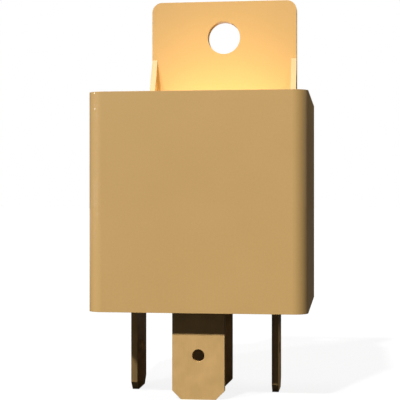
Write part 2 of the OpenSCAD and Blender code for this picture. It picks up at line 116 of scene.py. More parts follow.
def srgb(code):
    """Turns an sRGB hex colour into the linear colour that a shader takes."""
    parts = [int(code[i : i + 2], 16) / 255 for i in (0, 2, 4)]
    return [c / 12.92 if c <= 0.04045 else ((c + 0.055) / 1.055) ** 2.4 for c in parts]


def shade(colour, factor):
    """The same colour, lighter or darker, with the alpha that a colour socket wants."""
    return [min(1.0, c * factor) for c in colour[:3]] + [1.0]


def add_node(tree, kind, inputs=None, stops=None, **settings):
    """Adds a node, sets its options, and sets or links its sockets. Stops are the places and
    colours of a colour ramp."""
    made = tree.nodes.new(kind)
    for name, value in settings.items():
        setattr(made, name, value)
    for socket, value in (inputs or {}).items():
        if isinstance(value, bpy.types.NodeSocket):
            tree.links.new(value, made.inputs[socket])
        else:
            made.inputs[socket].default_value = value
    for i, (place, colour) in enumerate(stops or []):
        ramp = made.color_ramp.elements
        stop = ramp[i] if i < 2 else ramp.new(place)
        stop.position = place
        stop.color = [*colour[:3], 1.0]
    return made


def new_material(name):
    """An empty material, its tree, and the piece's own coordinates in millimetres."""
    material = bpy.data.materials.new(name)
    material.use_nodes = True
    tree = material.node_tree
    tree.nodes.clear()
    place = add_node(tree, "ShaderNodeTexCoord")
    mm = add_node(
        tree,
        "ShaderNodeMapping",
        {"Vector": place.outputs["Object"], "Scale": (1 / MM, 1 / MM, 1 / MM)},
    )
    return material, tree, mm.outputs["Vector"]


def grain(tree, vector, size_mm, stretch=(1, 1, 1), detail=2.0, roughness=0.5):
    """A noise whose blotches are about the given size, drawn out along an axis where stretch is
    under 1."""
    drawn = add_node(tree, "ShaderNodeMapping", {"Vector": vector, "Scale": stretch})
    noise = add_node(
        tree,
        "ShaderNodeTexNoise",
        {
            "Vector": drawn.outputs["Vector"],
            "Scale": 1 / size_mm,
            "Detail": detail,
            "Roughness": roughness,
        },
    )
    return noise.outputs["Fac"]


def uneven(tree, pattern, colour, shades, polish):
    """A colour and a roughness that both waver with one pattern, each from its first value to its
    second."""
    tone = add_node(
        tree,
        "ShaderNodeValToRGB",
        {"Fac": pattern},
        stops=[(LOW, shade(colour, shades[0])), (HIGH, shade(colour, shades[1]))],
    )
    rough = add_node(
        tree,
        "ShaderNodeMapRange",
        {
            "Value": pattern,
            "From Min": LOW,
            "From Max": HIGH,
            "To Min": polish[0],
            "To Max": polish[1],
        },
    )
    return tone.outputs["Color"], rough.outputs["Result"]


def veiled(tree, colour, pattern, dark, share=1.0):
    """A colour under a second pattern, which tints its low places."""
    veil = add_node(
        tree, "ShaderNodeValToRGB", {"Fac": pattern}, stops=[(LOW, dark), (HIGH, WHITE)]
    )
    mix = add_node(
        tree,
        "ShaderNodeMix",
        {"Factor": share, COLOUR_A: colour, COLOUR_B: veil.outputs["Color"]},
        data_type="RGBA",
        blend_type="MULTIPLY",
    )
    return mix.outputs[COLOUR_OUT]


def raised_skin(tree, pattern, depth_mm, edge_mm):
    """A skin with a pattern raised on it by a real depth. It catches the light on edges that a
    mould or a punch leaves slightly round."""
    edges = add_node(tree, "ShaderNodeBevel", {"Radius": edge_mm * MM}, samples=6)
    raised = add_node(
        tree,
        "ShaderNodeBump",
        {
            "Height": pattern,
            "Strength": 1.0,
            "Distance": depth_mm * MM,
            "Normal": edges.outputs["Normal"],
        },
    )
    return raised.outputs["Normal"]


def finish_with(tree, inputs):
    """Closes a material with one Principled shader."""
    shader = add_node(tree, "ShaderNodeBsdfPrincipled", inputs)
    add_node(tree, "ShaderNodeOutputMaterial", {"Surface": shader.outputs["BSDF"]})


# ---------- finishes ----------


def moulded_polyamide(colour):
    """Polyamide, filled and moulded in a finely eroded steel tool: even colour and a soft, satin
    shine."""
    material, tree, mm = new_material("moulded tan polyamide")
    # The melt's flow, 7 mm wide, moves the colour by a hair; fibre ends speck the skin at 0.25 mm
    flow = grain(tree, mm, 7.0, detail=3.0)
    speck = grain(tree, mm, 0.25, roughness=0.7)
    tone, rough = uneven(tree, flow, colour, (0.99, 1.01), (0.5, 0.54))
    # The tool's eroded skin is 0.05 mm across, drawn at 0.25 mm so that it shows at all
    finish_with(
        tree,
        {
            "Base Color": veiled(tree, tone, speck, (0.97, 0.97, 0.97)),
            "Roughness": rough,
            "IOR": 1.53,
            "Coat Weight": 0.3,
            "Coat Roughness": 0.05,
            "Normal": raised_skin(tree, speck, depth_mm=0.004, edge_mm=0.05),
        },
    )
    return material


def moulded_polyester(colour):
    """Glass-filled polyester, as bases are moulded of: dark, matt, with pale fibre ends in its
    skin."""
    material, tree, mm = new_material("moulded dark polyester")
    flow = grain(tree, mm, 4.0, detail=3.0)
    # Fibre ends are 0.01 mm across, drawn at 0.18 mm so that they show, and lie along the flow
    fibres = grain(tree, mm, 0.18, stretch=(1, 0.35, 1), roughness=0.7)
    tone, rough = uneven(tree, flow, colour, (0.85, 1.15), (0.5, 0.62))
    # Only the highest places are fibre
    ends = add_node(
        tree,
        "ShaderNodeMapRange",
        {"Value": fibres, "From Min": 0.55, "From Max": 0.75, "To Min": 0.0, "To Max": 0.12},
    )
    specked = add_node(
        tree,
        "ShaderNodeMix",
        {"Factor": ends.outputs["Result"], COLOUR_A: tone, COLOUR_B: (0.45, 0.42, 0.36, 1)},
        data_type="RGBA",
        blend_type="MIX",
    )
    finish_with(
        tree,
        {
            "Base Color": specked.outputs[COLOUR_OUT],
            "Roughness": rough,
            "IOR": 1.57,
            "Normal": raised_skin(tree, fibres, depth_mm=0.006, edge_mm=0.08),
        },
    )
    return material


def rolled_strip(name, colour, roughness, along, metallic=1.0):
    """Cold-rolled metal strip: fine lines run the way that it was rolled, under faint stains."""
    material, tree, mm = new_material(name)
    # The rolls leave lines 0.01 mm apart, drawn at 0.12 mm so that they show
    stretch = [0.04 if axis == along else 1.0 for axis in "XYZ"]
    lines = grain(tree, mm, 0.12, stretch=stretch, detail=3.0, roughness=0.6)
    stain = grain(tree, mm, 2.2, detail=4.0, roughness=0.6)
    tone, rough = uneven(
        tree, stain, colour, (0.97, 1.02), (roughness - 0.05, roughness + 0.07)
    )
    finish_with(
        tree,
        {
            "Base Color": veiled(tree, tone, lines, (0.95, 0.95, 0.95)),
            "Metallic": metallic,
            "Roughness": rough,
            "Normal": raised_skin(tree, lines, depth_mm=0.0012, edge_mm=0.05),
        },
    )
    return material


def nickel_plate(colour):
    """Nickel-plated soft iron: a pale, slightly mottled metal with a broad sheen."""
    material, tree, mm = new_material("nickel-plated iron")
    # The plating's crystals are finer than dust, drawn at 0.5 mm so that they show at all
    crystals = grain(tree, mm, 0.5, detail=4.0, roughness=0.65)
    haze = grain(tree, mm, 3.0, detail=3.0)
    tone = add_node(
        tree,
        "ShaderNodeValToRGB",
        {"Fac": crystals},
        stops=[(LOW, shade(colour, 0.88)), (HIGH, shade(colour, 1.04))],
    )
    rough = add_node(
        tree,
        "ShaderNodeMapRange",
        {"Value": haze, "From Min": LOW, "From Max": HIGH, "To Min": 0.3, "To Max": 0.44},
    )
    finish_with(
        tree,
        {
            "Base Color": veiled(tree, tone.outputs["Color"], haze, srgb("D8D4C4"), 0.5),
            "Metallic": 1.0,
            "Roughness": rough.outputs["Result"],
            "Normal": raised_skin(tree, crystals, depth_mm=0.002, edge_mm=0.08),
        },
    )
    return material


def turned_iron(colour):
    """Soft iron, turned and nickelled: rings 0.12 mm apart round the axis."""
    material, tree, mm = new_material("turned nickelled iron")
    lo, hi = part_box("core")
    middle = (lo + hi) / 2
    centred = add_node(
        tree,
        "ShaderNodeMapping",
        {"Vector": mm, "Location": (-middle.x / MM, -middle.y / MM, 0)},
    )
    # At a scale of 1 the rings are 0.314 apart
    rings = add_node(
        tree,
        "ShaderNodeTexWave",
        {"Vector": centred.outputs["Vector"], "Scale": 2.6, "Distortion": 0.4, "Detail": 1.0},
        wave_type="RINGS",
        rings_direction="Z",
    )
    haze = grain(tree, mm, 1.5, detail=3.0)
    tone, rough = uneven(tree, haze, colour, (0.92, 1.03), (0.22, 0.34))
    finish_with(
        tree,
        {
            "Base Color": tone,
            "Metallic": 1.0,
            "Roughness": rough,
            "Normal": raised_skin(tree, rings.outputs["Fac"], depth_mm=0.0015, edge_mm=0.06),
        },
    )
    return material


def natural_nylon(colour):
    """Unfilled nylon: milky, slightly uneven, with a waxy shine."""
    material, tree, mm = new_material("natural nylon")
    cloud = grain(tree, mm, 2.5, detail=3.0)
    tone, rough = uneven(tree, cloud, colour, (0.94, 1.03), (0.34, 0.46))
    finish_with(
        tree,
        {
            "Base Color": tone,
            "Roughness": rough,
            "IOR": 1.53,
            "Normal": raised_skin(tree, cloud, depth_mm=0.01, edge_mm=0.1),
        },
    )
    return material


def enamelled_copper(colour):
    """Copper wire under clear enamel: a dark red metal with a thin glossy skin."""
    material, tree, mm = new_material("enamelled copper")
    patches = grain(tree, mm, 0.9, stretch=(1, 1, 4), detail=3.0)
    tone, rough = uneven(tree, patches, colour, (0.8, 1.1), (0.26, 0.38))
    finish_with(
        tree,
        {
            "Base Color": tone,
            "Metallic": 1.0,
            "Roughness": rough,
            "Coat Weight": 0.6,
            "Coat Roughness": 0.12,
        },
    )
    return material


def plain_metal(name, colour, roughness, size_mm=0.6):
    """Headed, plated or tinned metal: bright, with soft small dents."""
    material, tree, mm = new_material(name)
    dents = grain(tree, mm, size_mm, detail=3.0)
    tone, rough = uneven(tree, dents, colour, (0.9, 1.03), (roughness - 0.06, roughness + 0.06))
    finish_with(
        tree,
        {
            "Base Color": tone,
            "Metallic": 1.0,
            "Roughness": rough,
            "Normal": raised_skin(tree, dents, depth_mm=0.004, edge_mm=0.05),
        },
    )
    return material


def banded_lacquer(ground, bands):
    """Glazed lacquer over a ceramic rod, with the painted rings that give a resistor its value.
    Each band is its place along the rod and its colour."""
    material, tree, mm = new_material("lacquered ceramic")
    lo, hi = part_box("resistor")
    across = add_node(tree, "ShaderNodeSeparateXYZ", {"Vector": mm})
    along = add_node(
        tree,
        "ShaderNodeMapRange",
        {
            "Value": across.outputs["X"],
            "From Min": lo.x / MM,
            "From Max": hi.x / MM,
            "To Min": 0.0,
            "To Max": 1.0,
        },
    )
    half_band = 0.035
    stops = [(0.0, ground)]
    for place, paint in bands:
        stops += [(place - half_band, paint), (place + half_band, ground)]
    rings = add_node(tree, "ShaderNodeValToRGB", {"Fac": along.outputs["Result"]}, stops=stops)
    rings.color_ramp.interpolation = "CONSTANT"
    drips = grain(tree, mm, 1.2)
    rough = add_node(
        tree,
        "ShaderNodeMapRange",
        {"Value": drips, "From Min": LOW, "From Max": HIGH, "To Min": 0.2, "To Max": 0.32},
    )
    swollen = add_node(
        tree, "ShaderNodeBump", {"Height": drips, "Strength": 1.0, "Distance": 0.012 * MM}
    )
    finish_with(
        tree,
        {
            "Base Color": rings.outputs["Color"],
            "Roughness": rough.outputs["Result"],
            "IOR": 1.5,
            "Coat Weight": 0.4,
            "Coat Roughness": 0.1,
            "Normal": swollen.outputs["Normal"],
        },
    )
    return material


# ---------- pieces ----------


def paint(piece, material, slot=None):
    """Gives a piece one material in every slot."""
    if not piece.material_slots:
        piece.data.materials.append(material)
    for place in piece.material_slots:
        place.material = material


def paint_nodes(names, material):
    """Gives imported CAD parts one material."""
    for name in names:
        paint(frame["nodes"][name], material)


def start(primitive, **settings):
    """Deselects everything and adds a primitive, which is then the only one selected."""
    bpy.ops.object.select_all(action="DESELECT")
    primitive(**settings)
    return bpy.context.active_object


def only(piece):
    """Makes a piece the one that operators work on."""
    bpy.ops.object.select_all(action="DESELECT")
    piece.select_set(True)
    bpy.context.view_layer.objects.active = piece


def pick(piece, test):
    """In edit mode, selects the vertices that pass a test of their place."""
    bpy.ops.mesh.select_mode(type="VERT")
    bpy.ops.mesh.select_all(action="DESELECT")
    bpy.ops.object.mode_set(mode="OBJECT")
    for vertex in piece.data.vertices:
        vertex.select = test(vertex.co)
    bpy.ops.object.mode_set(mode="EDIT")


def settle(piece, name, angle=35):
    """Puts a finished piece's place into its mesh, smooths its round faces and names it."""
    only(piece)
    bpy.ops.object.transform_apply(location=True, rotation=True, scale=True)
    bpy.ops.object.shade_smooth_by_angle(angle=math.radians(angle))
    piece.name = name
    return piece


def join(pieces):
    """Makes several pieces one."""
    only(pieces[0])
    for piece in pieces:
        piece.select_set(True)
    bpy.ops.object.join()
    return bpy.context.active_object


class RelayPlastics(PropertyGroup):
    """Colours of the mouldings."""

    cover: FloatVectorProperty(
        name="Cover",
        description="Colour of the cover's moulding",
        default=srgb("C8A163"),
        size=3,
        min=0,
        max=1,
        subtype="COLOR",
    )
    base: FloatVectorProperty(
        name="Base",
        description="Colour of the base's moulding",
        default=srgb("3A3128"),
        size=3,
        min=0,
        max=1,
        subtype="COLOR",
    )
    bobbin: FloatVectorProperty(
        name="Bobbin",
        description="Colour of the bobbin's moulding",
        default=srgb("E4DCC6"),
        size=3,
        min=0,
        max=1,
        subtype="COLOR",
    )


class RelayMetals(PropertyGroup):
    """Colours of the metals."""

    brass: FloatVectorProperty(
        name="Brass",
        description="Colour of the plug blades",
        default=srgb("E9BD7A"),
        size=3,
        min=0,
        max=1,
        subtype="COLOR",
    )
    nickel: FloatVectorProperty(
        name="Nickel plate",
        description="Colour of the magnet frame and the armature",
        default=srgb("C9C8C0"),
        size=3,
        min=0,
        max=1,
        subtype="COLOR",
    )
    bronze: FloatVectorProperty(
        name="Bronze",
        description="Colour of the contact spring",
        default=srgb("D6A274"),
        size=3,
        min=0,
        max=1,
        subtype="COLOR",
    )
    copper: FloatVectorProperty(
        name="Copper",
        description="Colour of the winding's enamelled wire",
        default=srgb("B5583A"),
        size=3,
        min=0,
        max=1,
        subtype="COLOR",
    )


class RelayCoil(PropertyGroup):
    """Sizes of the winding."""

    turn_pitch: FloatProperty(
        name="Turn pitch",
        description="Distance from one drawn turn of wire to the next",
        default=0.3 * MM,
        min=0.1 * MM,
        max=0.6 * MM,
        precision=5,
        subtype="DISTANCE",
        unit="LENGTH",
    )
    post_turns: IntProperty(
        name="Turns on each post",
        description="How often the wire goes round its post before the solder",
        default=4,
        min=2,
        max=6,
    )


class RelayStudio(PropertyGroup):
    """The plain studio."""

    key: FloatProperty(
        name="Key light",
        description="Strength of the main light, front left and above",
        default=1.15,
        min=0,
        max=5,
    )
    tab: FloatProperty(
        name="Tab light",
        description="Strength of the soft spot on the mounting tab",
        default=0.25,
        min=0,
        max=5,
    )
    bounce: FloatProperty(
        name="Bounce",
        description="Strength of the warm light that the roof throws on the tab's foot",
        default=1.05,
        min=0,
        max=5,
    )
    fill: FloatProperty(
        name="Fill",
        description="Even light from all round",
        default=0.02,
        min=0,
        max=1,
        subtype="FACTOR",
    )
    focal_length: FloatProperty(
        name="Focal length",
        description="Focal length of the camera, in millimetres on a 36 mm sensor",
        default=102.08,
        min=20,
        max=300,
    )


class RELAY_OT_cover(Operator):
    """Finish the moulded cover with its tab"""

    bl_idname = "relay.cover"
    bl_label = "Cover"

    def execute(self, context):
        paint_nodes(["cover"], moulded_polyamide(context.scene.relay_plastics.cover))
        return {"FINISHED"}


class RELAY_OT_base(Operator):
    """Finish the base that holds the blades"""

    bl_idname = "relay.base"
    bl_label = "Base"

    def execute(self, context):
        paint_nodes(["base"], moulded_polyester(context.scene.relay_plastics.base))
        return {"FINISHED"}


class RELAY_OT_blades(Operator):
    """Finish the five stamped brass blades"""

    bl_idname = "relay.blades"
    bl_label = "Blades"

    def execute(self, context):
        colour = context.scene.relay_metals.brass
        # Dull with tarnish, so that only part of it shines as metal
        brass = rolled_strip("rolled brass strip", colour, roughness=0.45, along="Z", metallic=0.4)
        names = ["terminal_30", "terminal_85", "terminal_86", "terminal_87", "terminal_87a"]
        paint_nodes(names, brass)
        return {"FINISHED"}


class RELAY_OT_magnet(Operator):
    """Finish the magnet's iron: frame, core and armature"""

    bl_idname = "relay.magnet"
    bl_label = "Magnet iron"

    def execute(self, context):
        nickel = context.scene.relay_metals.nickel
        paint_nodes(["magnet_frame", "armature"], nickel_plate(nickel))
        paint_nodes(["core"], turned_iron(nickel))
        return {"FINISHED"}


class RELAY_OT_bobbin(Operator):
    """Finish the moulded bobbin"""

    bl_idname = "relay.bobbin"
    bl_label = "Bobbin"

    def execute(self, context):
        paint_nodes(["bobbin"], natural_nylon(context.scene.relay_plastics.bobbin))
        return {"FINISHED"}


class RELAY_OT_winding(Operator):
    """Wind the coil turn by turn and run its ends round the posts"""

    bl_idname = "relay.winding"
    bl_label = "Winding"

    def execute(self, context):
        coil = context.scene.relay_coil
        lo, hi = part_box("winding")
        centre = (lo + hi) / 2
        outer = (hi.x - lo.x) / 2
        wire = coil.turn_pitch / 2
        turns = int((hi.z - lo.z) / coil.turn_pitch) - 1
        # The wire is drawn a little stout, so that each turn touches the next
        stout = 1.04
        coil_sides = 56
        wound = start(
            bpy.ops.mesh.primitive_circle_add,
            vertices=8,
            radius=wire * stout,
            rotation=(math.pi / 2, 0, 0),
            location=(outer - wire, 0, lo.z + wire),
        )
        bpy.ops.object.transform_apply(location=True, rotation=True, scale=True)
        screw = wound.modifiers.new("turns", "SCREW")
        screw.axis = "Z"
        screw.iterations = turns
        screw.screw_offset = coil.turn_pitch
        screw.steps = screw.render_steps = coil_sides
        bpy.ops.object.modifier_apply(modifier="turns")
        wound.location = (centre.x, centre.y, 0)
        # The layers below show between the turns and close the coil's two ends down to the tube
        play, near, tube = 0.02 * MM, 0.05 * MM, 0.72
        layers = start(
            bpy.ops.mesh.primitive_cylinder_add,
            vertices=coil_sides,
            radius=outer - wire,
            depth=hi.z - lo.z - play,
            end_fill_type="NOTHING",
            location=centre,
        )
        bpy.ops.object.transform_apply(location=True, rotation=True, scale=True)
        bpy.ops.object.mode_set(mode="EDIT")
        for end in (lo.z, hi.z):
            pick(layers, lambda co: abs(co.z - end) < near)
            bpy.ops.mesh.extrude_region_move()
            bpy.ops.transform.resize(value=(tube, tube, 1), center_override=centre)
        bpy.ops.mesh.select_all(action="SELECT")
        bpy.ops.mesh.normals_make_consistent(inside=False)
        bpy.ops.object.mode_set(mode="OBJECT")
        winding = settle(join([wound, layers]), "coil_turns", angle=60)
        copper = enamelled_copper(context.scene.relay_metals.copper)
        paint(winding, copper, "enamelled_copper")
        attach(winding, "base")
        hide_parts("winding")
        paint_nodes(["coil_wires"], copper)
        self.wrap_posts(coil, copper)
        return {"FINISHED"}

    def wrap_posts(self, coil, copper):
        """Runs a few turns of wire round each coil blade's post, under the solder."""
        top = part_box("coil_wires")[1].z
        # The first turn's depth under the wire's top and each further turn's, in millimetres
        first, step = 1.35, 0.25
        radius, post_half_x, post_half_y = 1 * MM, 0.4 * MM, 1.1 * MM
        # Each turn leans a little, as wire does that is wound by hand
        lean = (math.radians(4), math.radians(3), 0)
        wraps = []
        for name in COIL_BLADES:
            lo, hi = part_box(name)
            middle = (lo + hi) / 2
            for i in range(coil.post_turns):
                turn = start(
                    bpy.ops.mesh.primitive_torus_add,
                    major_segments=32,
                    minor_segments=8,
                    major_radius=radius,
                    minor_radius=0.12 * MM,
                    location=(middle.x, middle.y, top - (first + step * i) * MM),
                    rotation=lean,
                )
                self.square_up(turn, radius, post_half_x, post_half_y)
                wraps.append(turn)
        joined = settle(join(wraps), "post_wraps", angle=60)
        paint(joined, copper, "enamelled_copper")
        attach(joined, "base")

    def square_up(self, turn, radius, half_x, half_y):
        """Draws a round turn tight on a flat post, given the turn's radius and the post's two
        half widths."""
        # Half the drawn wire, and a hair more
        clear = 0.14 * MM
        # The post is narrow and deep: on its way round, a turn is at its full width early, and at
        # its full depth late
        early, late = 2.2, 1.15
        for vertex in turn.data.vertices:
            way = Vector((vertex.co.x, vertex.co.y))
            reach = clear + (way.length - radius)
            way.normalize()
            x = math.copysign(half_x, way.x) * min(1, abs(way.x) * early)
            y = math.copysign(half_y, way.y) * min(1, abs(way.y) * late)
            vertex.co.x = x + way.x * reach
            vertex.co.y = y + way.y * reach


class RELAY_OT_solder(Operator):
    """Set a drop of solder where each lead and wire meets its post"""

    bl_idname = "relay.solder"
    bl_label = "Solder"

    def execute(self, context):
        lead_lo, lead_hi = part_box("resistor_leads")
        wire_lo, wire_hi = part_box("coil_wires")
        # Half the width, depth and height of a drop on a lead and on a wire, in millimetres
        on_lead, on_wire = (0.62, 0.5, 0.6), (0.34, 0.55, 0.6)
        # A drop on a wire sits this far outside the wire's end, and its middle this far down
        outside, down = 0.02, 0.1
        drops = []
        for name in COIL_BLADES:
            lo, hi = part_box(name)
            x = (lo.x + hi.x) / 2
            inward = -1 if x > 0 else 1
            wire_x = (wire_hi.x if x > 0 else wire_lo.x) - inward * outside * MM
            wire_place = (wire_x, (wire_lo.y + wire_hi.y) / 2, wire_hi.z - down * MM)
            lead_place = (x, lead_hi.y, (lead_lo.z + lead_hi.z) / 2)
            drops += [self.drop(lead_place, on_lead), self.drop(wire_place, on_wire)]
        solder = settle(join(drops), "solder_drops", angle=80)
        tin = plain_metal("tin solder", srgb("D2D3D0"), roughness=0.22, size_mm=0.9)
        paint(solder, tin, "tinned_wire")
        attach(solder, "base")
        return {"FINISHED"}

    def drop(self, place, size):
        """One drop, drawn thin where it wets the metal above and below."""
        waist, neck = 0.3, (0.72, 0.85, 1.25)
        drop = start(
            bpy.ops.mesh.primitive_uv_sphere_add,
            segments=20,
            ring_count=12,
            radius=1 * MM,
            location=place,
            scale=size,
        )
        bpy.ops.object.transform_apply(location=True, rotation=True, scale=True)
        bpy.ops.object.mode_set(mode="EDIT")
        for sign in (-1, 1):
            pick(drop, lambda co: (co.z - place[2]) * sign > waist * size[2] * MM)
            bpy.ops.transform.resize(value=neck, center_override=place)
        bpy.ops.object.mode_set(mode="OBJECT")
        return drop


class RELAY_OT_leaf_spring(Operator):
    """Finish the contact spring, which bends between the armature and the frame"""

    bl_idname = "relay.leaf_spring"
    bl_label = "Leaf spring"

    def execute(self, context):
        only(frame["nodes"]["contact_spring"])
        bpy.ops.object.duplicate(linked=False)
        leaf = bpy.context.active_object
        bpy.ops.object.parent_clear(type="CLEAR_KEEP_TRANSFORM")
        # The copy is a piece of its own, and no longer the CAD node
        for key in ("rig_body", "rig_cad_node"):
            if key in leaf:
                del leaf[key]
        hinge = next(j for j in frame["joints"] if j["name"] == "armature_hinge")["pos_m"]
        lo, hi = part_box("frame_rivets")
        rivets = (lo + hi) / 2
        bpy.ops.object.mode_set(mode="EDIT")
        bpy.ops.mesh.select_all(action="SELECT")
        bpy.ops.mesh.remove_doubles(threshold=0.001 * MM)
        # Cuts across the leg, from the rivets to just over the hinge, let it bend between them
        cuts, over = 12, 0.6 * MM
        for i in range(cuts):
            bpy.ops.mesh.select_all(action="SELECT")
            height = rivets.z + (hinge[2] + over - rivets.z) * i / (cuts - 1)
            bpy.ops.mesh.bisect(plane_co=(0, hinge[1], height), plane_no=(0, 0, 1))
        bpy.ops.object.mode_set(mode="OBJECT")
        leaf = settle(leaf, "leaf_spring")
        colour = context.scene.relay_metals.bronze
        bronze = rolled_strip("rolled bronze strip", colour, roughness=0.3, along="Y")
        paint(leaf, bronze, "spring_bronze")
        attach(leaf, "armature")
        # A piece that bends between two bodies has no parent
        leaf.parent = None
        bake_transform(leaf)
        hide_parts("contact_spring")
        return {"FINISHED"}


class RELAY_OT_rivets(Operator):
    """Finish the rivets that hold the spring"""

    bl_idname = "relay.rivets"
    bl_label = "Rivets"

    def execute(self, context):
        steel = plain_metal("zinc-plated steel rivet", srgb("C4C3BE"), roughness=0.3)
        paint_nodes(["spring_rivets", "frame_rivets"], steel)
        return {"FINISHED"}


class RELAY_OT_contacts(Operator):
    """Finish the silver contacts"""

    bl_idname = "relay.contacts"
    bl_label = "Contacts"

    def execute(self, context):
        silver = plain_metal("fine-grain silver", srgb("E3E1DA"), roughness=0.26, size_mm=0.4)
        paint_nodes(["moving_contact", "contact_make", "contact_break"], silver)
        return {"FINISHED"}


class RELAY_OT_resistor(Operator):
    """Shape the lacquered resistor on its tinned leads"""

    bl_idname = "relay.resistor"
    bl_label = "Resistor"

    def execute(self, context):
        lo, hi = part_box("resistor")
        centre = (lo + hi) / 2
        radius = (hi.z - lo.z) / 2
        half = (hi.x - lo.x) / 2
        body = start(
            bpy.ops.mesh.primitive_cylinder_add,
            vertices=32,
            radius=radius,
            depth=2 * half,
            rotation=(0, math.pi / 2, 0),
            location=centre,
        )
        bpy.ops.object.transform_apply(location=True, rotation=True, scale=True)
        bpy.ops.object.mode_set(mode="EDIT")
        # The caps pressed on the rod's ends stand proud of its waist. A cut is a share of the rod's
        # length, and a drawn-in ring is such a share with the size that it keeps
        cuts = (0.08, 0.3, 0.42, 0.58, 0.7, 0.92)
        drawn_in = ((0.0, 0.62), (1.0, 0.62), (0.42, 0.84), (0.58, 0.84))
        near = 0.02 * MM
        for share in cuts:
            bpy.ops.mesh.select_all(action="SELECT")
            x = lo.x + 2 * half * share
            bpy.ops.mesh.bisect(plane_co=(x, centre.y, centre.z), plane_no=(1, 0, 0))
        for share, size in drawn_in:
            x = lo.x + 2 * half * share
            pick(body, lambda co: abs(co.x - x) < near)
            bpy.ops.transform.resize(value=(1, size, size), center_override=(x, centre.y, centre.z))
        bpy.ops.object.mode_set(mode="OBJECT")
        rounded = body.modifiers.new("rounded", "SUBSURF")
        rounded.levels = rounded.render_levels = 1
        bpy.ops.object.modifier_apply(modifier="rounded")
        body = settle(body, "resistor_body", angle=60)
        # Brown, black, red and gold: 1 kilohm, within 5 %
        bands = [
            (0.2, srgb("8A4A22")),
            (0.38, srgb("1A1A1A")),
            (0.52, srgb("8C2A20")),
            (0.8, srgb("C9A04A")),
        ]
        paint(body, banded_lacquer(srgb("4F7F9C"), bands), "resistor_lacquer")
        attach(body, "base")
        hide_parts("resistor")
        tinned = plain_metal("tinned copper wire", srgb("D4D2CC"), roughness=0.3)
        paint_nodes(["resistor_leads"], tinned)
        return {"FINISHED"}


